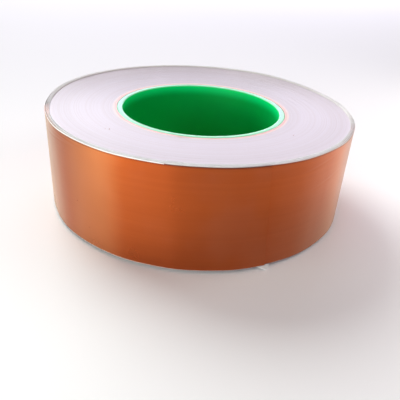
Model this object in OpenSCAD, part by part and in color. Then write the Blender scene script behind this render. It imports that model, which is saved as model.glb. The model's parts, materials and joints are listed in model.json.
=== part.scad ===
// Roll of wide copper foil tape on a moulded plastic core.
// The roll stands on the lower end of its core, with its axis along Z.
// The tape runs counterclockwise, seen from above, and ends in a tail that peels off the roll.

/* [Core] */
// Bore of the core
bore_d = 76.2; // [70:0.1:78]
// Wall of the core
core_wall = 2.7; // [2:0.1:3]
// Radius on the edges of the core's ends
core_edge_r = 0.6; // [0.3:0.1:0.9]

/* [Tape] */
// Width of the tape, and length of the core
tape_w = 45; // [20:1:100]
// Thickness of the copper foil
foil_t = 0.1; // [0.06:0.01:0.12]
// Thickness of the adhesive on the back of the foil
adhesive_t = 0.04; // [0.03:0.01:0.06]
// Thickness of the release liner
liner_t = 0.14; // [0.1:0.01:0.16]
// How far the adhesive stops short of each edge of the foil
adhesive_margin = 0.2; // [0.1:0.1:0.5]

/* [Winding] */
// Thickness of the double-sided strip that holds the start of the tape
starter_t = 0.2; // [0.1:0.05:0.3]
// Length of that strip around the core
starter_l = 30; // [10:1:60]
// Depth of the first turns, which are bare foil
bare_turns_t = 0.9; // [0.3:0.1:1]
// Depth of the first turns of the liner
liner_start_t = 0.8; // [0.3:0.1:1]
// Outside radius of the tight pack
pack_r = 71.0; // [60:0.1:72]
// How far the pack's outer turns have slid up the roll
telescope = 1.5; // [0.5:0.1:3]
// Number of turns that have sprung loose from the pack
loose_count = 4; // [2:1:6]
// Growth in radius of the loose turns around the roll
loose_grow = 0.45; // [0.3:0.05:0.6]
// How far the loose turns stand above the last turn
loose_rise = 0.2; // [0:0.1:0.5]
// Growth in radius of the last turn around the roll
last_grow = 0.5; // [0.45:0.05:0.8]
// How far the last turn's liner has slipped down behind its foil
liner_slip = 0.4; // [0.2:0.1:0.8]

/* [Free end] */
// Direction of the line where the free end leaves the roll
hinge_az = -99.3; // [-180:0.1:180]
// Angle of the roll that the free end covers
tail_deg = 32; // [15:1:60]
// Slant of the cut across the tape
cut_slant = 4; // [0:0.5:8]
// Air between the liner and the adhesive of the free end
peel_gap = 0.1; // [0.05:0.05:0.15]
// How far the torn corner of the liner sticks out
ear_l = 2.4; // [1:0.1:4]

/* [Hidden] */
$fn = 180;
// Air left between turns that are separate solids
turn_gap = 0.05;
// Air left across the hinge line, as an angle
hinge_gap_deg = 0.08;
// Extra angle of the tail's arcs, which the slanted cut takes off
cut_over_deg = 3;
// Width of the starter strip
starter_w = tape_w - 2;
// Angles of the torn corner about the middle of the cut
ear_from = -1.4;
ear_root = 1.2;
ear_tip = 0.9;
ear_to = 3.4;
// How far the corner's outer lobe stands off the liner
ear_lobe = 0.5;

core_r = bore_d / 2 + core_wall;
bare_r = core_r + starter_t;
liner_start_r = bare_r + bare_turns_t;
pack_in_r = liner_start_r + liner_start_t;
tape_t = foil_t + adhesive_t + liner_t;
loose_r = pack_r + turn_gap;
loose_t = loose_count * tape_t;
liner_r = loose_r + loose_t + turn_gap;
adhesive_r = liner_r + liner_t;
foil_r = adhesive_r + adhesive_t;
liner_tail_r = liner_r - peel_gap;
foil_z = telescope;
liner_z = telescope - liner_slip;
adhesive_z = foil_z + adhesive_margin;
adhesive_w = tape_w - 2 * adhesive_margin;

plastic_green = [0.03, 0.56, 0.24];
copper = [0.80, 0.42, 0.25];
copper_edge = [0.90, 0.70, 0.66];
liner_white = [0.93, 0.91, 0.92];
liner_cream = [0.95, 0.90, 0.84];
pack_lavender = [0.88, 0.84, 0.89];
adhesive_grey = [0.74, 0.70, 0.66];

// Section of a ring from radius r outwards, standing at height z
module section(r, t, z, h) {
    translate([r, z])
        square([t, h]);
}

// Section with all four corners rounded
module rounded_section(r, t, h, edge) {
    section(r + edge, t - 2 * edge, 0, h);
    section(r, t, edge, h - 2 * edge);
    for (x = [r + edge, r + t - edge])
        for (y = [edge, h - edge])
            translate([x, y])
                circle(edge);
}

// Whole ring about the roll's axis
module ring(r, t, z, h) {
    rotate_extrude()
        section(r, t, z, h);
}

// One turn whose radius grows evenly: two half rings about two centres, tangent where they meet
module growing_turn(r, t, z, h, grow) {
    rotate([0, 0, hinge_az])
        for (half = [0, 1])
            rotate([0, 0, 180 * half])
                translate([-grow / 4, 0, 0])
                    rotate_extrude(angle = 180)
                        section(r + grow * (1 + 2 * half) / 4, t, z, h);
}

// The last turn carried on past the hinge line, up to the slanted cut
module tail_arc(r, t, z, h) {
    rotate([0, 0, hinge_az])
        difference() {
            translate([-last_grow / 4, 0, 0])
                rotate([0, 0, hinge_gap_deg])
                    rotate_extrude(angle = tail_deg + cut_over_deg)
                        section(r + last_grow * 5 / 4, t, z, h);
            rotate([0, 0, tail_deg])
                translate([pack_r, 0, foil_z + tape_w / 2])
                    rotate([cut_slant, 0, 0])
                        translate([0, 0, -tape_w])
                            cube([2 * (foil_r - pack_r), 2 * tape_w * sin(cut_slant + cut_over_deg), 2 * tape_w]);
        }
}

// Corner of the liner torn outwards under the edge of the foil, as a point at radius r
function on_ear(r, angle) = [r * cos(tail_deg + angle), r * sin(tail_deg + angle)];

module liner_ear() {
    root_r = liner_tail_r + last_grow + liner_t / 2;
    rotate([0, 0, hinge_az])
        translate([0, 0, liner_z])
            linear_extrude(liner_t)
                polygon([
                    on_ear(root_r, ear_from),
                    on_ear(root_r + ear_l, ear_tip),
                    on_ear(root_r + ear_lobe, ear_to),
                    on_ear(root_r, ear_root)
                ]);
}

module core() {
    color(plastic_green)
        rotate_extrude()
            rounded_section(bore_d / 2, core_wall, tape_w, core_edge_r);
}

module starter_strip() {
    color(adhesive_grey)
        rotate([0, 0, hinge_az])
            rotate_extrude(angle = starter_l / core_r * 180 / PI)
                section(core_r, starter_t, (tape_w - starter_w) / 2, starter_w);
}

module bare_foil_turns() {
    color(copper_edge)
        ring(bare_r, bare_turns_t, 0, tape_w);
}

module first_liner_turns() {
    color(liner_cream)
        ring(liner_start_r, liner_start_t, 0, tape_w);
}

// Each turn of the pack has slid a little further up than the one inside it
module wound_pack() {
    color(pack_lavender)
        rotate_extrude()
            polygon([
                [pack_in_r, 0],
                [pack_r, telescope],
                [pack_r, telescope + tape_w],
                [pack_in_r, tape_w]
            ]);
}

module loose_turns() {
    color(liner_white)
        growing_turn(loose_r, loose_t, telescope + loose_rise, tape_w, loose_grow);
}

module last_liner_turn() {
    color(liner_white)
        growing_turn(liner_r, liner_t, liner_z, tape_w, last_grow);
}

module last_adhesive_turn() {
    color(adhesive_grey)
        growing_turn(adhesive_r, adhesive_t, adhesive_z, adhesive_w, last_grow);
}

module last_foil_turn() {
    color(copper)
        growing_turn(foil_r, foil_t, foil_z, tape_w, last_grow);
}

module liner_tail() {
    color(liner_white) {
        tail_arc(liner_tail_r, liner_t, liner_z, tape_w);
        liner_ear();
    }
}

module adhesive_tail() {
    color(adhesive_grey)
        tail_arc(adhesive_r, adhesive_t, adhesive_z, adhesive_w);
}

module foil_tail() {
    color(copper)
        tail_arc(foil_r, foil_t, foil_z, tape_w);
}

core();
starter_strip();
bare_foil_turns();
first_liner_turns();
wound_pack();
loose_turns();
last_liner_turn();
last_adhesive_turn();
last_foil_turn();
liner_tail();
adhesive_tail();
foil_tail();
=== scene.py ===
import json
import math

import bmesh
import bpy
import numpy as np
from mathutils import Matrix, Vector


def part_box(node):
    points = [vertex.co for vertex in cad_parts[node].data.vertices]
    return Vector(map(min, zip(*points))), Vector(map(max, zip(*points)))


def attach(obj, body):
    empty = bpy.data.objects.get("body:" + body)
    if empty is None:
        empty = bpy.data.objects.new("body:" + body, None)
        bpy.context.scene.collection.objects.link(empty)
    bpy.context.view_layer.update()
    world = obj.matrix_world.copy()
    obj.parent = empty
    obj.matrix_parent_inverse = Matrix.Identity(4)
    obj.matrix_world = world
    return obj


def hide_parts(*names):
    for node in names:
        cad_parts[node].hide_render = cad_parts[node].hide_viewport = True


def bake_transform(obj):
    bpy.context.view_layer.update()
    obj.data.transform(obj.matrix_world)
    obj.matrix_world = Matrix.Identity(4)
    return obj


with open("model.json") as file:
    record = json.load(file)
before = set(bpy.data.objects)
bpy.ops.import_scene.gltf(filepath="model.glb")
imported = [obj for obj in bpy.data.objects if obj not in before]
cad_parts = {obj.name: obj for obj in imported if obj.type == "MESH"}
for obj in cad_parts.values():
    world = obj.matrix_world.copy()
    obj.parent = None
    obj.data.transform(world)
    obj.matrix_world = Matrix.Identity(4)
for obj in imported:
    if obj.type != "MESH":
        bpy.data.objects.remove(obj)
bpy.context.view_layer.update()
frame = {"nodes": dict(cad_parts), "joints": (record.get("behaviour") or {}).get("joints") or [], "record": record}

MM = 0.001
TURN = 2 * math.pi

# Angles called a count from the hinge line, where the free end leaves the roll, and azimuths from +X.
# Both run counterclockwise, seen from above.

# ---------------------------------------------------------------- sizes

# Layers of the tape and its winding, as in part.scad
FOIL_T = 0.10 * MM
ADHESIVE_T = 0.04 * MM
LINER_T = 0.14 * MM
TAPE_T = FOIL_T + ADHESIVE_T + LINER_T
ADHESIVE_MARGIN = 0.2 * MM
STARTER_T = 0.2 * MM
STARTER_L = 30 * MM
CORE_EDGE_R = 0.6 * MM
TURN_GAP = 0.05 * MM
LOOSE_COUNT = 4
LAST_GROW = 0.5 * MM
PEEL_GAP = 0.1 * MM
TAIL = math.radians(32)
CUT_SLANT = math.radians(4)
EAR_L = 2.4 * MM

# The hinge line and the bore, from the record and its joints
RECORD = frame["record"]
BORE_R = next(m for m in RECORD["mounts"] if m["name"] == "core_bore")["dims"]["r_mm"] * MM
HINGE = Vector(next(j for j in frame["joints"] if j["name"] == "foil_lift")["pos_m"])
HINGE_AZ = math.atan2(HINGE.y, HINGE.x)
HINGE_R = HINGE.xy.length

# Radii and heights, from the boxes of the CAD nodes
CORE_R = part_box("core")[1].x
TAPE_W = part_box("core")[1].z
BARE_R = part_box("bare_foil_turns")[1].x
PACK_IN_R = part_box("first_liner_turns")[1].x
PACK_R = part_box("wound_pack")[1].x
LOOSE_R = PACK_R + TURN_GAP
LOOSE_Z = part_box("loose_turns")[0].z
FOIL_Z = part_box("last_foil_turn")[0].z
LINER_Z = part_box("last_liner_turn")[0].z
RIM_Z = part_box("last_foil_turn")[1].z
FOIL_R = HINGE_R - LAST_GROW - FOIL_T
ADHESIVE_R = FOIL_R - ADHESIVE_T
LINER_R = ADHESIVE_R - LINER_T
STARTER_ANGLE = STARTER_L / CORE_R

# Steps in one turn of the spirals
STEPS = 240
# Air outside each wound block
BLOCK_GAP = 0.02 * MM
# How far the loose turns stand off the pack, and how much further at their bulge
LOOSE_GAP = 0.05 * MM
LOOSE_BULGE = 0.05 * MM
# How far the loose liner stands above the loose foil
LOOSE_LINER_RISE = 0.28 * MM
# How much further the outer turns have slid up at the back of the roll, and where that is highest
BACK_RISE = 1.3 * MM
BACK_AZ = math.radians(114)
# How much wider the last turn's liner is than its foil
LINER_OVER = 0.85 * MM
# Air between the foil and the adhesive under it, which the furrows in the foil need
FOIL_OFF = 0.05 * MM
# Air across the hinge line, as an angle
HINGE_GAP = math.radians(0.001)


# ---------------------------------------------------------------- small helpers

def waves(x, seed, lengths, weights):
    """Smooth random height along x: two sines for each length, with seeded phases."""
    rng = np.random.default_rng(seed)
    total = np.zeros_like(x, dtype=float)
    for length, weight in zip(lengths, weights):
        for stretch in (1.0, 1.618):
            total += weight * np.sin(TURN * x / (length * stretch) + rng.uniform(0, TURN))
    return total


def bump(x, middle, half_width):
    """1 at middle, falling smoothly to 0."""
    return np.exp(-(((x - middle) / half_width) ** 2))


def smooth(x, low, high):
    """0 up to low, rising smoothly to 1 at high."""
    t = np.clip((x - low) / (high - low), 0, 1)
    return t * t * (3 - 2 * t)


def placed(a, radius, z, centre=0.0):
    """Points at angle a from the hinge line, turned into the frame."""
    x = centre + radius * np.cos(a)
    y = radius * np.sin(a)
    c, s = math.cos(HINGE_AZ), math.sin(HINGE_AZ)
    return np.stack([x * c - y * s, x * s + y * c, z + np.zeros_like(x)], axis=-1)


def make_object(name, points, faces, materials, which=None, sharp_deg=35):
    """A mesh object with smooth faces that stay sharp at corners."""
    mesh = bpy.data.meshes.new(name)
    mesh.from_pydata(points.reshape(-1, 3).tolist(), [], faces)
    for material in materials:
        mesh.materials.append(material)
    if which is not None:
        mesh.polygons.foreach_set("material_index", which)
    mesh.polygons.foreach_set("use_smooth", [True] * len(mesh.polygons))
    mesh.set_sharp_from_angle(angle=math.radians(sharp_deg))
    mesh.validate()
    mesh.update()
    obj = bpy.data.objects.new(name, mesh)
    bpy.context.scene.collection.objects.link(obj)
    return obj


def grid_faces(rows, columns, start=0, flip=False):
    """Quads of a grid whose points run row by row."""
    quads = []
    for i in range(rows - 1):
        for j in range(columns - 1):
            p = start + i * columns + j
            quad = (p, p + columns, p + columns + 1, p + 1)
            quads.append(quad[::-1] if flip else quad)
    return quads


def thick_sheet(name, outer, inner, materials):
    """A closed sheet between two grids of points; materials are for its outside, inside and edges."""
    n, m = outer.shape[:2]
    count = n * m
    faces = grid_faces(n, m) + grid_faces(n, m, count, flip=True)
    which = [0] * ((n - 1) * (m - 1)) + [1] * ((n - 1) * (m - 1))
    rim = [(i, 0) for i in range(n)] + [(n - 1, j) for j in range(1, m)]
    rim += [(i, m - 1) for i in range(n - 2, -1, -1)] + [(0, j) for j in range(m - 2, 0, -1)]
    loop = [i * m + j for i, j in rim]
    for p, q in zip(loop, loop[1:] + loop[:1]):
        faces.append((q, p, p + count, q + count))
        which.append(2)
    points = np.concatenate([outer.reshape(-1, 3), inner.reshape(-1, 3)])
    return make_object(name, points, faces, materials, which)


def lathe(name, profile, materials):
    """A closed ring turned from a list of (radius, height) that runs once round its section."""
    segments = 288
    profile = np.array(profile)
    a = np.linspace(0, TURN, segments, endpoint=False)
    radius, height = profile[:, 0], profile[:, 1]
    points = np.stack([
        np.cos(a)[:, None] * radius,
        np.sin(a)[:, None] * radius,
        np.ones(segments)[:, None] * height,
    ], axis=-1)
    k = len(profile)
    faces = []
    for i in range(segments):
        for j in range(k):
            p, q = i * k, (i + 1) % segments * k
            after = (j + 1) % k
            faces.append((p + j, q + j, q + after, p + after))
    return make_object(name, points, faces, materials)


# ---------------------------------------------------------------- shape of the outer turns

def slid_up(a):
    """How much further the outer turns have slid up.

    It starts about a quarter turn from BACK_AZ and is whole within an eighth of a turn of it.
    """
    return BACK_RISE * smooth(np.cos(a + HINGE_AZ - BACK_AZ), -0.05, 0.70)


def growing(r, grow, a):
    """Centre offset and radius of a turn that grows evenly: half rings about two centres."""
    half = np.floor(a / math.pi)
    centre = np.where(half % 2 == 0, -grow / 4, grow / 4)
    return centre, r + grow * (1 + 2 * half) / 4


# Azimuths of the soft upright kinks between the flats of the outer turns, in degrees, how many degrees
# beside each kink are rounded off, and the height of the kinks
KINKS = np.array([-166, -142, -114.5, -96.5, -78, -55, -33, -8, 14, 37, 60, 84, 108, 131, 154, 176])
KINK_SOFT = 2.5
KINK_H = 0.22 * MM


def flats(azimuth):
    """1 at each kink of the outer turns, falling to 0 in the middle of each flat."""
    azimuth = (azimuth + 180) % 360 - 180
    ring = np.concatenate([KINKS[-1:] - 360, KINKS, KINKS[:1] + 360])
    after = np.searchsorted(ring, azimuth, side="right")
    before, following = ring[after - 1], ring[after]
    away = np.minimum(azimuth - before, following - azimuth)
    away = np.sqrt(away ** 2 + KINK_SOFT ** 2) - KINK_SOFT
    return (1 - away / (following - before) * 2) ** 2


# ---------------------------------------------------------------- material nodes

# Share of a turn from the hinge line to the brightest band of painted highlight on the foil, left of the free end
HIGHLIGHT_BAND_SHARE = (math.radians(-125) - HINGE_AZ) / TURN


class Nodes:
    """Short names for building one material's nodes."""

    def __init__(self, name):
        self.material = bpy.data.materials.new(name)
        self.material.use_nodes = True
        self.tree = self.material.node_tree
        self.shader = self.tree.nodes["Principled BSDF"]

    def add(self, kind, inputs=None, **settings):
        node = self.tree.nodes.new(kind)
        for key, value in settings.items():
            setattr(node, key, value)
        for key, value in (inputs or {}).items():
            self.set(node.inputs[key], value)
        return node

    def set(self, socket, value):
        if isinstance(value, bpy.types.NodeSocket):
            self.tree.links.new(value, socket)
        else:
            socket.default_value = value

    def shade(self, **inputs):
        for key, value in inputs.items():
            self.set(self.shader.inputs[key.replace("_", " ")], value)

    def where(self):
        return self.add("ShaderNodeTexCoord").outputs["Object"]

    def scaled(self, vector, scale):
        return self.add("ShaderNodeMapping", {"Vector": vector, "Scale": scale}).outputs[0]

    def noise(self, vector, scale=1.0, detail=3.0, rough=0.5):
        inputs = {"Vector": vector, "Scale": scale, "Detail": detail, "Roughness": rough}
        return self.add("ShaderNodeTexNoise", inputs).outputs["Fac"]

    def math(self, operation, a, b=0.0):
        node = self.add("ShaderNodeMath", operation=operation)
        self.set(node.inputs[0], a)
        self.set(node.inputs[1], b)
        return node.outputs[0]

    def spread(self, value, low, high, to_low=0.0, to_high=1.0):
        """value, from low to high, spread smoothly over to_low to to_high."""
        inputs = {"Value": value, "From Min": low, "From Max": high, "To Min": to_low, "To Max": to_high}
        return self.add("ShaderNodeMapRange", inputs, interpolation_type="SMOOTHSTEP").outputs[0]

    def mix(self, fac, a, b):
        """Colour a where fac is 0, b where it is 1."""
        node = self.add("ShaderNodeMix", data_type="RGBA")
        for index, value in ((0, fac), (6, a), (7, b)):
            if isinstance(value, tuple):
                value = value + (1.0,)
            self.set(node.inputs[index], value)
        return node.outputs[2]

    def axis(self, vector, name):
        return self.add("ShaderNodeSeparateXYZ", {"Vector": vector}).outputs[name]

    def radius(self, vector):
        """Distance from the roll's axis."""
        flat = self.add("ShaderNodeVectorMath", operation="MULTIPLY")
        self.set(flat.inputs[0], vector)
        flat.inputs[1].default_value = (1, 1, 0)
        length = self.add("ShaderNodeVectorMath", operation="LENGTH")
        self.set(length.inputs[0], flat.outputs[0])
        return length.outputs["Value"]

    def round_share(self, vector):
        """Share of a whole turn about Z, from 0 to 1, counted from the hinge line."""
        turned = self.add("ShaderNodeMapping", {"Vector": vector, "Rotation": (0, 0, math.pi - HINGE_AZ)})
        gradient = self.add("ShaderNodeTexGradient", {"Vector": turned.outputs[0]}, gradient_type="RADIAL")
        return gradient.outputs["Fac"]

    def painted_highlight_bands(self, vector):
        """Painted highlight: soft pale bands that run up the roll, two rows of waves, in step where the brightest
        band is.
        """
        share = self.math("SUBTRACT", self.round_share(vector), HIGHLIGHT_BAND_SHARE)
        many = self.math("COSINE", self.math("MULTIPLY", share, 8 * TURN))
        few = self.math("COSINE", self.math("MULTIPLY", share, 3 * TURN))
        both = self.math("ADD", self.math("MULTIPLY", many, 0.55), self.math("MULTIPLY", few, 0.45))
        return self.spread(both, 0.1, 1.0)

    def bumps(self, *layers):
        """Chains bump layers of (height, depth in metres)."""
        normal = None
        for height, depth in layers:
            node = self.add("ShaderNodeBump", {"Height": height, "Distance": depth, "Strength": 1.0})
            if normal is not None:
                self.set(node.inputs["Normal"], normal)
            normal = node.outputs[0]
        self.shade(Normal=normal)

    def specks(self, vector, per_metre, size, share):
        """1 on specks of one size, in that share of the cells of a pattern, and 0 elsewhere."""
        cells = self.add("ShaderNodeTexVoronoi", {"Vector": vector, "Scale": per_metre, "Randomness": 1.0})
        near = self.spread(cells.outputs["Distance"], size * per_metre, size * per_metre * 0.5)
        chosen = self.math("GREATER_THAN", self.axis(cells.outputs["Color"], 0), 1 - share)
        return self.math("MULTIPLY", near, chosen)


def copper_material(name, light, dark, rough):
    """Rolled foil: fine lines along the tape, pale upright bands of painted highlight, soft blotches, dark pits
    and a painted shade along the top rim.
    """
    n = Nodes(name)
    at = n.where()
    fine = n.noise(n.scaled(at, (14, 14, 2600)), detail=0)
    lines = n.noise(n.scaled(at, (9, 9, 800)), detail=1)
    bands = n.noise(n.scaled(at, (6, 6, 160)), detail=2)
    blotch = n.noise(at, scale=38, detail=4)
    tone = n.math("ADD", n.math("MULTIPLY", lines, 0.4), n.math("MULTIPLY", fine, 0.2))
    tone = n.math("ADD", tone, n.math("MULTIPLY", bands, 0.4))
    # The first colour is the painted highlight of the upright bands, the second is tarnish.
    painted_highlight, tarnish = (0.54, 0.17, 0.062), (0.50, 0.17, 0.10)
    # Colours of the dark pits and of the painted shade along the top rim.
    pit, painted_rim_shade = (0.10, 0.03, 0.015), (0.20, 0.035, 0.018)
    colour = n.mix(n.spread(tone, 0.3, 0.7), dark, light)
    # The pale upright bands mixed in here are painted highlight.
    colour = n.mix(n.math("MULTIPLY", n.painted_highlight_bands(at), 0.8), colour, painted_highlight)
    colour = n.mix(n.spread(blotch, 0.45, 0.75, 0.0, 0.15), colour, tarnish)
    colour = n.mix(n.math("MULTIPLY", n.specks(at, 55, 0.7 * MM, 0.05), 0.7), colour, pit)
    # Painted shade: a dark brown is mixed into the top rim of the foil.
    rim = n.spread(n.axis(at, "Z"), RIM_Z - 0.7 * MM, RIM_Z - 0.2 * MM)
    colour = n.mix(n.math("MULTIPLY", rim, 0.5), colour, painted_rim_shade)
    n.shade(
        Base_Color=colour,
        Metallic=1.0,
        Roughness=n.spread(blotch, 0.3, 0.7, rough, rough + 0.06),
        Anisotropic=0.55,
        Anisotropic_Rotation=0.25,
        Sheen_Weight=0.35,
        Sheen_Roughness=0.45,
        Sheen_Tint=(1.0, 0.94, 0.60, 1.0),
        Tangent=n.add("ShaderNodeTangent", direction_type="RADIAL", axis="Z").outputs[0],
    )
    n.bumps((fine, 0.000001), (n.noise(at, scale=260, detail=2), 0.000006))
    return n.material


def edge_material(name, colour, other, rough):
    """Slit edge of one foil: two tones in a fine grain."""
    n = Nodes(name)
    at = n.where()
    grain = n.noise(at, scale=900, detail=3)
    n.shade(
        Base_Color=n.mix(grain, colour, other),
        Metallic=0.6,
        Roughness=n.spread(grain, 0.3, 0.7, rough, rough + 0.15),
    )
    n.bumps((grain, 0.00002))
    return n.material


def paper_material(name, light, shade, rough, edge_reflection_share):
    """Coated release paper with faint fibres; the last argument is how strongly its lower edge takes a painted
    reflection of the copper and painted shade.
    """
    n = Nodes(name)
    at = n.where()
    fibre = n.noise(n.scaled(at, (700, 700, 2100)), detail=4, rough=0.6)
    mottle = n.noise(at, scale=120, detail=3)
    clean = n.mix(n.spread(n.math("ADD", fibre, mottle), 0.8, 1.2), shade, light)
    # Painted reflection and shade: the paper's lower edge is tinted copper-brown.
    lower_edge_reflection_mask = n.spread(n.axis(at, "Z"), LINER_Z + 0.9 * MM, LINER_Z + 0.4 * MM)
    painted_copper_reflection = (0.50, 0.22, 0.13)
    n.shade(
        Base_Color=n.mix(n.math("MULTIPLY", lower_edge_reflection_mask, edge_reflection_share), clean, painted_copper_reflection),
        Roughness=n.spread(mottle, 0.3, 0.7, rough, rough + 0.12),
    )
    n.bumps((fibre, 0.00001))
    return n.material


def wound_material(name, liner, foil, dusk, pitch, first_r, foil_share):
    """Slit edges of turns: a foil edge and a liner edge in each, dusky rings and specks of dust."""
    n = Nodes(name)
    at = n.where()
    radius = n.radius(at)
    turns = n.math("DIVIDE", n.math("SUBTRACT", radius, first_r), pitch)
    turns = n.math("SUBTRACT", turns, n.round_share(at))
    inside = n.math("FRACT", turns)
    is_foil = n.math("LESS_THAN", inside, foil_share)
    number = n.math("FLOOR", turns)
    each = n.add("ShaderNodeTexWhiteNoise", {"W": number}, noise_dimensions="1D").outputs["Value"]
    slow = {"W": turns, "Scale": 0.11, "Detail": 4.0, "Roughness": 0.65}
    rings = n.add("ShaderNodeTexNoise", slow, noise_dimensions="1D").outputs["Fac"]
    tone = n.math("ADD", n.math("MULTIPLY", each, 0.35), rings)
    smudge = n.noise(at, scale=22, detail=3)
    dust = (0.12, 0.06, 0.045)
    colour = n.mix(n.spread(tone, 0.45, 0.95), liner, dusk)
    colour = n.mix(n.spread(smudge, 0.5, 0.8, 0.0, 0.35), colour, dusk)
    colour = n.mix(n.math("MULTIPLY", is_foil, 0.55), colour, foil)
    colour = n.mix(n.math("MULTIPLY", n.specks(at, 62, 0.75 * MM, 0.06), 0.75), colour, dust)
    n.shade(
        Base_Color=colour,
        Roughness=n.spread(each, 0.0, 1.0, 0.47, 0.55),
        Metallic=n.math("MULTIPLY", is_foil, 0.25),
    )
    n.bumps((n.noise(at, scale=700, detail=3), 0.000006))
    return n.material


def core_material():
    """Green plastic that carries light, with that light painted in: a pale painted glow and highlight on the cut
    ends and a brighter painted glow just inside them.
    """
    n = Nodes("core_green_plastic")
    at = n.where()
    end = TAPE_W / 2
    from_middle = n.math("ABSOLUTE", n.math("SUBTRACT", n.axis(at, "Z"), end))
    cloud = n.noise(n.scaled(at, (30, 30, 12)), detail=3)
    draw = n.noise(n.scaled(at, (900, 900, 25)), detail=2)
    # Painted glow: a bright green band just inside each end, where the plastic carries light.
    inner_glow_mask = n.spread(from_middle, end - 6 * MM, end - 0.5 * MM)
    cut = n.spread(from_middle, end - 0.55 * MM, end - 0.15 * MM)
    deep = n.mix(cloud, (0.0, 0.40, 0.072), (0.0, 0.49, 0.096))
    with_inner_glow = n.mix(inner_glow_mask, deep, (0.0, 0.84, 0.23))
    # Painted glow and highlight: pale mint on the cut ends.
    painted_end_glow = n.mix(n.noise(at, scale=420, detail=3), (0.28, 0.86, 0.48), (0.36, 0.91, 0.57))
    n.shade(
        Base_Color=n.mix(cut, with_inner_glow, painted_end_glow),
        Roughness=n.spread(cloud, 0.3, 0.7, 0.30, 0.42),
        Subsurface_Weight=0.25,
        Subsurface_Radius=(0.2, 1.0, 0.35),
        Subsurface_Scale=0.004,
        Specular_IOR_Level=0.14,
        Coat_Weight=n.math("MULTIPLY", cut, 0.18),
        Coat_Roughness=0.12,
    )
    n.bumps((draw, 0.000008), (n.noise(at, scale=1500, detail=2), 0.000003))
    return n.material


def adhesive_material():
    """Clear glossy acrylic over copper: fine grains, and streaks where it has flowed."""
    n = Nodes("adhesive_coat")
    at = n.where()
    grain = n.noise(at, scale=2600, detail=2)
    flow = n.noise(n.scaled(at, (40, 40, 90)), detail=3)
    colour = n.mix(n.spread(grain, 0.42, 0.6), (0.46, 0.17, 0.08), (0.68, 0.36, 0.22))
    n.shade(
        Base_Color=n.mix(n.spread(flow, 0.4, 0.7, 0.0, 0.4), colour, (0.70, 0.43, 0.30)),
        Metallic=0.55,
        Roughness=n.spread(flow, 0.3, 0.7, 0.16, 0.30),
        Coat_Weight=0.6,
        Coat_Roughness=0.08,
    )
    n.bumps((grain, 0.000006), (flow, 0.00003))
    return n.material


def floor_material():
    """Nearly white, matt, with a very faint cloud."""
    n = Nodes("pale_floor")
    at = n.where()
    n.shade(
        Base_Color=n.mix(n.noise(at, scale=3, detail=2), (0.975, 0.945, 0.955), (0.985, 0.955, 0.965)),
        Roughness=0.75,
    )
    return n.material


COPPER = copper_material("copper_foil", (0.45, 0.088, 0.0185), (0.42, 0.079, 0.0165), 0.27)
COPPER_BACK = copper_material("copper_back", (0.70, 0.36, 0.22), (0.60, 0.28, 0.17), 0.38)
COPPER_EDGE = edge_material("copper_edge", (0.34, 0.085, 0.040), (0.50, 0.17, 0.08), 0.34)
PINK_EDGE = wound_material(
    "bare_foil_edges", (0.93, 0.60, 0.56), (0.88, 0.47, 0.43), (0.90, 0.56, 0.52),
    FOIL_T + ADHESIVE_T, CORE_R + STARTER_T, 0.7,
)
LINER = paper_material("liner_paper", (0.92, 0.88, 0.85), (0.86, 0.81, 0.78), 0.38, 0.85)
LINER_EDGE = paper_material("liner_edge", (0.97, 0.965, 0.97), (0.90, 0.89, 0.90), 0.55, 0.0)
CREAM_EDGE = wound_material(
    "first_liner_edges", (0.90, 0.72, 0.68), (0.86, 0.62, 0.58), (0.86, 0.68, 0.64),
    LINER_T, BARE_R, 0.3,
)
WOUND = wound_material(
    "wound_edges", (0.725, 0.655, 0.72), (0.68, 0.58, 0.61), (0.685, 0.60, 0.64),
    TAPE_T, PACK_IN_R, 0.36,
)
GREEN = core_material()
ADHESIVE = adhesive_material()

# Materials for the outside, inside and edges of a sheet
FOIL_SHEET = [COPPER, COPPER_BACK, COPPER_EDGE]
LINER_SHEET = [LINER, LINER, LINER_EDGE]


# ---------------------------------------------------------------- the core

def fillet(radius, height, start):
    """Points of a quarter round about a place in the core's section, from start in degrees."""
    last = 6
    angles = [math.radians(start + 90 * k / last) for k in range(last + 1)]
    return [(radius + CORE_EDGE_R * math.cos(t), height + CORE_EDGE_R * math.sin(t)) for t in angles]


def make_core():
    """The tube, with rounded ends and three very shallow waves down its bore."""
    wave_h = 0.03 * MM
    steps = 12
    low, high = CORE_EDGE_R, TAPE_W - CORE_EDGE_R
    section = fillet(CORE_R - CORE_EDGE_R, low, -90)
    section += fillet(CORE_R - CORE_EDGE_R, high, 0)
    section += fillet(BORE_R + CORE_EDGE_R, high, 90)
    for k in range(1, steps):
        t = k / steps
        section.append((BORE_R + wave_h * math.sin(math.pi * t * 3) ** 2, high - t * (high - low)))
    section += fillet(BORE_R + CORE_EDGE_R, low, 180)
    core = lathe("core_tube", section, [GREEN])
    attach(core, "roll")
    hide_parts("core")


# ---------------------------------------------------------------- wound turns

def spiral_faces(turns):
    """Faces of a closed spiral block: treads, risers between turns, two walls and two end caps."""
    n = turns * STEPS
    top_in, top_out = 0, n + 1
    low_in, low_out = 2 * (n + 1), 3 * (n + 1)
    faces = []
    for s in range(n):
        faces.append((top_in + s, top_out + s, top_out + s + 1, top_in + s + 1))
        faces.append((low_in + s + 1, low_out + s + 1, low_out + s, low_in + s))
        if s < n - STEPS:
            t = s + STEPS
            faces.append((top_out + s, top_in + t, top_in + t + 1, top_out + s + 1))
            faces.append((low_out + s + 1, low_in + t + 1, low_in + t, low_out + s))
        else:
            faces.append((top_out + s, low_out + s, low_out + s + 1, top_out + s + 1))
        if s < STEPS:
            faces.append((top_in + s + 1, low_in + s + 1, low_in + s, top_in + s))
    t = STEPS
    faces.append((top_in, low_in, low_out, low_in + t, top_in + t, top_out))
    s = n - STEPS
    faces.append((top_out + s, top_in + n, top_out + n, low_out + n, low_in + n, low_out + s))
    return faces


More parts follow.
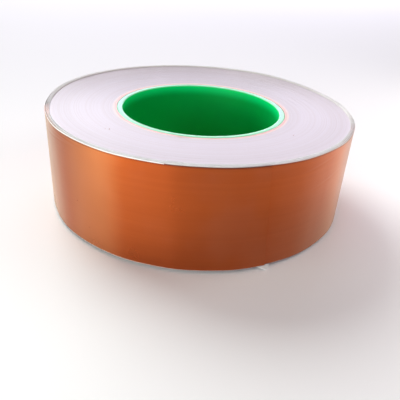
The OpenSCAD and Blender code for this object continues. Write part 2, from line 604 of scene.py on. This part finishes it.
def over_starter(a):
    """1 where the first turn lies over the starter strip, 0 where it lies on the core."""
    ramp = 0.08
    a = (a + math.pi) % TURN - math.pi
    return smooth(a, -ramp, 0.0) * (1 - smooth(a, STARTER_ANGLE, STARTER_ANGLE + ramp))


def uneven_heights(s, turns, seed, uneven):
    """How far the tape's edge stands up or down along the spiral: slow waves, and a few turns pushed out."""
    heights = waves(s, seed, (0.9, 2.3, 6.0, 15.0), (0.10, 0.25, 0.5, 0.7)) * uneven
    rng = np.random.default_rng(seed)
    for turn in rng.uniform(0.08, 0.95, max(1, turns // 12)) * turns:
        heights += bump(s, turn, 0.45) * rng.choice([-0.8, 1.2]) * uneven
    return heights + 1.2 * uneven * (s / turns) * np.cos(TURN * s - 2.0)


def wound_block(node, material, r_in, r_out, pitch, seed, uneven, lift=0.0, settle=0.0):
    """Many turns as one closed spiral, whose first and last turns close up to the ring beside them.

    The outside of the block has slid up the roll by lift. Where the first turn doesn't lie over the
    starter strip, it has settled inwards by settle.
    """
    turns = round((r_out - r_in) / pitch)
    pitch = (r_out - r_in - BLOCK_GAP) / (turns + 1)
    s = np.arange(turns * STEPS + 1) / STEPS
    a = TURN * s
    share = s / turns
    rise = lift * share + uneven_heights(s, turns, seed, uneven)
    if lift:
        rise += slid_up(a) * share ** 1.5
    radius = r_in + pitch * s
    first = r_in + pitch * smooth(s, 0.98, 1.0) - settle * (1 - over_starter(a))
    last = r_in + pitch * (turns + smooth(s - turns + 1, 0.0, 0.02))
    inside = np.where(s < 1, first, radius)
    outside = np.where(s > turns - 1, last, radius + pitch)
    step = 0.22 * uneven
    top = TAPE_W + rise
    low = np.maximum(rise, 0.0)
    points = np.concatenate([
        placed(a, inside, top),
        placed(a, outside, top - step),
        placed(a, inside, low),
        placed(a, outside, np.maximum(low - step, 0.0)),
    ])
    block = make_object(node + "_spiral", points, spiral_faces(turns), [material], sharp_deg=20)
    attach(block, "roll")
    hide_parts(node)


def make_wound_turns():
    """The three blocks of tight turns, from the core outwards."""
    wound_block(
        "bare_foil_turns", PINK_EDGE, CORE_R + STARTER_T, BARE_R, FOIL_T + ADHESIVE_T,
        seed=3, uneven=0.014 * MM, settle=STARTER_T - BLOCK_GAP,
    )
    wound_block(
        "first_liner_turns", CREAM_EDGE, BARE_R, PACK_IN_R, LINER_T,
        seed=4, uneven=0.014 * MM,
    )
    wound_block(
        "wound_pack", WOUND, PACK_IN_R, PACK_R, TAPE_T,
        seed=5, uneven=0.012 * MM, lift=FOIL_Z,
    )


def make_loose_turns():
    """The four outer turns as two real strips, liner and foil, sprung off the pack at the left."""
    s = np.arange((LOOSE_COUNT + 1) * STEPS + 1) / STEPS
    a = TURN * s
    share = s % 1
    off = LOOSE_GAP * smooth(share, 0.2, 0.6) * (1 - smooth(share, 0.9, 1.0))
    off += LOOSE_BULGE * bump(share, 0.74, 0.09)
    off += KINK_H * flats(np.degrees(a + HINGE_AZ)) * smooth(s, 2.0, 4.5)
    base = LOOSE_R - TAPE_T + TAPE_T * s + off
    wave = waves(s, 11, (0.35, 0.8, 1.9), (0.4, 0.6, 1.0)) * 0.04 * MM
    foil_near = LINER_T + 0.01 * MM
    foil_far = LINER_T + FOIL_T + 0.02 * MM
    strips = [
        ("loose_liner", "liner_paper", [LINER_EDGE, LINER, LINER_EDGE], 0.0, LINER_T, LOOSE_LINER_RISE),
        ("loose_foil", "copper_foil", FOIL_SHEET, foil_near, foil_far, 0.0),
    ]
    across = np.linspace(0, 1, 4) * TAPE_W
    for name, slot, materials, near, far, rise in strips:
        z = (LOOSE_Z + rise + wave + slid_up(a))[:, None] + across
        angles = a[:, None] + 0 * z
        outer = placed(angles, (base + far)[:, None], z)
        inner = placed(angles, (base + near)[:, None], z)
        strip = thick_sheet(name, outer, inner, materials)
        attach(strip, "roll")
        if name == "loose_liner":
            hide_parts("loose_turns")


# ---------------------------------------------------------------- the last turn and the free end

# Creases in the foil, in degrees and mm: azimuth and height of the middle, half length, rise per degree,
# height of the ridge (below zero for a furrow) and half width
CREASES = [
    (-138, 44.9, 8, -0.080, 0.10, 0.28),
    (-146, 42.6, 9, 0.055, -0.10, 0.34),
    (-150, 41.2, 7, 0.110, 0.08, 0.30),
    (-156, 39.6, 6, 0.140, -0.06, 0.30),
    (-49, 41.9, 7, 0.190, -0.07, 0.32),
    (-42, 33.6, 8, 0.210, -0.06, 0.36),
    (60, 43.0, 12, 0.060, 0.08, 0.5),
    (118, 5.5, 14, -0.050, 0.07, 0.5),
]


def sway_relief(a, z):
    """Flats and shallow waves round the last turn, which every layer of it follows."""
    round_mm = a * HINGE_R / MM
    high = (z - FOIL_Z) / TAPE_W
    sway = waves(round_mm + 1.5 * high, 21, (8.5, 13, 27), (0.22, 0.42, 0.62))
    sway *= 0.75 + 0.25 * np.cos(2.2 * high)
    lean = 3 * (high - 0.5)
    return 0.02 * (2.4 + sway) * MM + KINK_H * flats(np.degrees(a + HINGE_AZ) + lean)


def crease_relief(a, z):
    """The ridges and furrows of CREASES, with no furrow deeper than the air under the foil."""
    azimuth = np.degrees(a + HINGE_AZ)
    relief = 0 * a
    for middle, height, reach, lean, depth, width in CREASES:
        along = (azimuth - middle + 180) % 360 - 180
        line = z / MM - height - lean * along
        fade = bump(along, 0, reach)
        relief += fade * depth * (bump(line, 0, width) - 0.4 * bump(line, 1.7 * width, width))
    return np.maximum(relief * MM, -FOIL_OFF)


def foil_relief(a, z):
    """The sway, and on top of it the foil's own creases."""
    return sway_relief(a, z) + FOIL_OFF + crease_relief(a, z)


# Layers of the last turn: inner radius, thickness, height of the lower edge, width, relief, materials, slot
FOIL_LAYER = (FOIL_R, FOIL_T, FOIL_Z, TAPE_W, foil_relief, FOIL_SHEET, "copper_foil")
ADHESIVE_LAYER = (
    ADHESIVE_R, ADHESIVE_T, FOIL_Z + ADHESIVE_MARGIN, TAPE_W - 2 * ADHESIVE_MARGIN,
    sway_relief, [ADHESIVE] * 3, "adhesive",
)
LINER_LAYER = (LINER_R, LINER_T, LINER_Z, TAPE_W + LINER_OVER, sway_relief, LINER_SHEET, "liner_paper")


def layer_points(r_in, t, a, z, off):
    """Outer and inner points of one layer of the last turn, moved outwards by off."""
    centre, radius = growing(r_in, LAST_GROW, a)
    z = z + slid_up(a)
    return placed(a, radius + t + off, z, centre), placed(a, radius + off, z, centre)


def row_heights(low, width, rows):
    """Heights of the rows of a sheet, closer together near its top, where the creases are."""
    crowd = 0.45
    t = np.linspace(0, 1, rows)
    return low + width * (t + crowd * t * (1 - t))


def make_last_turn():
    """The last whole turn, as its three layers from the inside outwards."""
    columns = 640
    layers = [
        ("last_liner_turn", 8, LINER_LAYER),
        ("last_adhesive_turn", 8, ADHESIVE_LAYER),
        ("last_foil_turn", 72, FOIL_LAYER),
    ]
    for node, rows, (r, t, low, width, relief, materials, slot) in layers:
        a, z = np.meshgrid(np.linspace(0, TURN, columns), row_heights(low, width, rows), indexing="ij")
        sheet = thick_sheet(node + "_sheet", *layer_points(r, t, a, z, relief(a, z)), materials)
        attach(sheet, "roll")
        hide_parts(node)


def tail_grid(low, width, rows):
    """Angles, heights and shares of the length over the free end, whose far edge is the slanted cut."""
    columns = 96
    z = row_heights(low, width, rows)
    end = TAIL - (z - FOIL_Z - TAPE_W / 2) * math.tan(CUT_SLANT) / HINGE_R
    share = np.linspace(0, 1, columns)[:, None]
    a = TURN + HINGE_GAP + (end - HINGE_GAP) * share
    return a, z + 0 * a, share + 0 * a


def curl(share):
    """How far the cut end curls up over its last few millimetres."""
    return 0.38 * MM * smooth(share, 0.86, 1.06) ** 2


def bend_end(sheet):
    """Bakes the sheet's placement into its points."""
    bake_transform(sheet)


def make_foil_end():
    """The foil of the free end and the adhesive on its back."""
    layers = [
        ("foil_tail", 72, FOIL_LAYER),
        ("adhesive_tail", 12, ADHESIVE_LAYER),
    ]
    for node, rows, (r, t, low, width, relief, materials, slot) in layers:
        a, z, share = tail_grid(low, width, rows)
        off = curl(share) + relief(a, z)
        sheet = thick_sheet(node + "_sheet", *layer_points(r, t, a, z, off), materials)
        bend_end(sheet)
        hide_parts(node)


def make_liner_end():
    """The liner of the free end, a little clear of the adhesive."""
    a, z, share = tail_grid(LINER_Z, TAPE_W, 16)
    gap = PEEL_GAP * smooth(share, 0.0, 0.12)
    off = sway_relief(a, z) + curl(share) * 0.5 - gap
    sheet = thick_sheet("liner_tail_sheet", *layer_points(LINER_R, LINER_T, a, z, off), LINER_SHEET)
    bend_end(sheet)
    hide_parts("liner_tail")


def ear_edge(share):
    """Outline of the torn corner: angle from the cut and how far out, as share runs from root to root."""
    from_deg, tip_deg, to_deg = -1.4, 0.9, 3.4
    tip = 0.55
    left = np.clip(share / tip, 0, 1)
    right = np.clip((share - tip) / (1 - tip), 0, 1)
    rising = from_deg + (tip_deg - from_deg) * left
    falling = tip_deg + (to_deg - tip_deg) * right
    degrees = np.where(share < tip, rising, falling)
    out = np.where(share < tip, left ** 0.9, (1 - right) ** 1.15)
    ragged = waves(share * 10, 31, (1.3, 3.1), (0.5, 0.5)) * 0.05
    return np.radians(degrees), np.clip(out + ragged * np.sin(math.pi * share), 0.0, 1.0)


def make_torn_corner():
    """The lower corner of the free end's liner, torn and turned out under the foil."""
    centre, radius = growing(LINER_R - PEEL_GAP, LAST_GROW, np.array(TURN))
    root = float(centre + radius) + LINER_T / 2
    stub = 0.12 * MM
    columns, rows = 26, 9
    u, v = np.meshgrid(np.linspace(0.02, 0.98, columns), np.linspace(0, 1, rows), indexing="ij")
    angle, out = ear_edge(u)
    reach = root + v * (stub + EAR_L * out)
    droop = 0.45 * MM * (v * out) ** 1.5
    z = LINER_Z - droop + 0.05 * MM * np.sin(4 * u) * v
    upper = placed(TURN + TAIL + angle, reach, z + LINER_T / 2)
    lower = placed(TURN + TAIL + angle, reach, z - LINER_T / 2)
    ear = thick_sheet("liner_torn_corner", lower, upper, [LINER_EDGE] * 3)
    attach(ear, "liner_end")


# ---------------------------------------------------------------- crumbs

def on_face(r_mm, azimuth_deg):
    """A point on the face of the wound pack, as it stands at the front."""
    share = (r_mm * MM - PACK_IN_R) / (PACK_R - PACK_IN_R)
    return placed(np.array(math.radians(azimuth_deg) - HINGE_AZ), r_mm * MM, TAPE_W + FOIL_Z * share)


def on_foil(z_mm, azimuth_deg):
    """A point on the last turn's foil, left of the free end."""
    a = np.array(math.radians(azimuth_deg) - HINGE_AZ + TURN)
    z = np.array(z_mm * MM)
    centre, radius = growing(FOIL_R + FOIL_T, LAST_GROW, a)
    return placed(a, radius + sway_relief(a, z), z, centre)


def make_crumbs():
    """Specks of backing and foil: three on the face and three on the copper."""
    # Each with its size in mm
    spots = [
        (on_face(54.2, -133.7), 0.55),
        (on_face(55.6, -134.8), 0.34),
        (on_face(51.9, -39.2), 0.42),
        (on_foil(19.5, -131.8), 0.62),
        (on_foil(9.5, -126.4), 0.55),
        (on_foil(11.2, -127.6), 0.30),
    ]
    rng = np.random.default_rng(8)
    for index, (place, size) in enumerate(spots):
        lump = bmesh.new()
        bmesh.ops.create_icosphere(lump, subdivisions=2, radius=size * MM / 2)
        for vertex in lump.verts:
            vertex.co *= rng.uniform(0.65, 0.95)
        bmesh.ops.translate(lump, verts=lump.verts, vec=place)
        mesh = bpy.data.meshes.new(f"crumb_{index}")
        lump.to_mesh(mesh)
        lump.free()
        mesh.materials.append(COPPER_EDGE)
        crumb = bpy.data.objects.new(f"crumb_{index}", mesh)
        bpy.context.scene.collection.objects.link(crumb)
        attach(crumb, "roll")


# ---------------------------------------------------------------- starter strip

def dress_starter_strip():
    """The CAD node stays as it is, with this script's material."""
    strip = frame["nodes"]["starter_strip"]
    strip.data.materials.clear()
    strip.data.materials.append(ADHESIVE)


# ---------------------------------------------------------------- floor, light and camera

def make_floor():
    """A flat square, 8 m on a side, at the height of the core's lower end."""
    half_side = 4.0
    n = 9
    t = np.linspace(-half_side, half_side, n)
    x, y = np.meshgrid(t, t, indexing="ij")
    points = np.stack([x, y, 0 * x], axis=-1)
    floor = make_object("floor", points, grid_faces(n, n), [floor_material()])


def soft_light(name, place, target, width, height, radiance, colour):
    """A soft box whose brightness is set by its radiance, whatever its size."""
    data = bpy.data.lights.new(name, "AREA")
    data.shape = "RECTANGLE"
    data.size, data.size_y = width, height
    data.energy = radiance * math.pi * width * height
    data.color = colour
    data.spread = math.radians(150)
    light = bpy.data.objects.new(name, data)
    light.location = place
    light.rotation_euler = (Vector(target) - Vector(place)).to_track_quat("-Z", "Y").to_euler()
    bpy.context.scene.collection.objects.link(light)


def make_world():
    """A dim room, which the camera sees as a brighter plain backdrop."""
    world = bpy.data.worlds.new("studio")
    world.use_nodes = True
    nodes, links = world.node_tree.nodes, world.node_tree.links
    room = nodes["Background"]
    room.inputs["Color"].default_value = (1.0, 0.86, 0.91, 1)
    room.inputs["Strength"].default_value = 0.22
    backdrop = nodes.new("ShaderNodeBackground")
    backdrop.inputs["Color"].default_value = (1, 1, 1, 1)
    backdrop.inputs["Strength"].default_value = 0.8
    seen = nodes.new("ShaderNodeLightPath")
    choose = nodes.new("ShaderNodeMixShader")
    links.new(seen.outputs["Is Camera Ray"], choose.inputs[0])
    links.new(room.outputs[0], choose.inputs[1])
    links.new(backdrop.outputs[0], choose.inputs[2])
    links.new(choose.outputs[0], nodes["World Output"].inputs["Surface"])
    bpy.context.scene.world = world


def make_sun():
    """A broad soft sun from the back left."""
    data = bpy.data.lights.new("soft_sun", "SUN")
    data.energy = 2.45
    data.angle = math.radians(38)
    data.color = (0.93, 1.0, 0.975)
    azimuth, elevation = math.radians(127), math.radians(36.5)
    level = math.cos(elevation)
    toward = Vector((math.cos(azimuth) * level, math.sin(azimuth) * level, math.sin(elevation)))
    sun = bpy.data.objects.new("soft_sun", data)
    sun.rotation_euler = toward.to_track_quat("Z", "Y").to_euler()
    bpy.context.scene.collection.objects.link(sun)


def make_soft_lights():
    """Each soft box, with its place, target, width, height, radiance and colour."""
    middle = (0, 0, TAPE_W / 2)
    right_floor = (0.13, 0, 0)
    soft_light("key_left", (-0.31, -0.20, 0.06), middle, 0.22, 0.10, 7.1, (0.84, 1.0, 0.80))
    soft_light("key_front", (-0.20, -0.40, 0.10), middle, 0.22, 0.18, 3.9, (0.82, 0.86, 0.96))
    soft_light("edge_right", (0.386, 0.104, 0.035), middle, 0.16, 0.10, 7.5, (1.0, 0.98, 0.88))
    soft_light("back_sheen", (0.0, 2.4, 0.62), middle, 2.4, 0.88, 3.4, (0.80, 0.78, 0.97))
    soft_light("fill_right", (0.27, 0.0, 0.24), right_floor, 0.20, 0.20, 1.5, (1.0, 0.98, 0.93))


def make_camera():
    """Stands in front of the roll, a little above it, and looks down past its face."""
    distance = 3.144 * HINGE_R
    elevation, pitch, yaw, roll = (math.radians(d) for d in (17.36, 29.15, -0.63, 3.78))
    data = bpy.data.cameras.new("camera")
    data.sensor_width = 36.0
    data.lens = 41.34
    data.clip_start = 0.01
    data.clip_end = 50.0
    camera = bpy.data.objects.new("camera", data)
    camera.location = Vector((0, -distance * math.cos(elevation), RIM_Z + distance * math.sin(elevation)))
    aim = Matrix.Rotation(yaw, 3, "Z") @ Matrix.Rotation(math.pi / 2 - pitch, 3, "X")
    camera.rotation_euler = (aim @ Matrix.Rotation(roll, 3, "Z")).to_euler()
    bpy.context.scene.collection.objects.link(camera)
    bpy.context.scene.camera = camera


make_camera()
make_world()
make_sun()
make_soft_lights()
make_floor()
make_core()
make_wound_turns()
make_loose_turns()
make_last_turn()
make_foil_end()
make_liner_end()
make_torn_corner()
make_crumbs()
dress_starter_strip()
bpy.context.scene.view_settings.view_transform = "Standard"
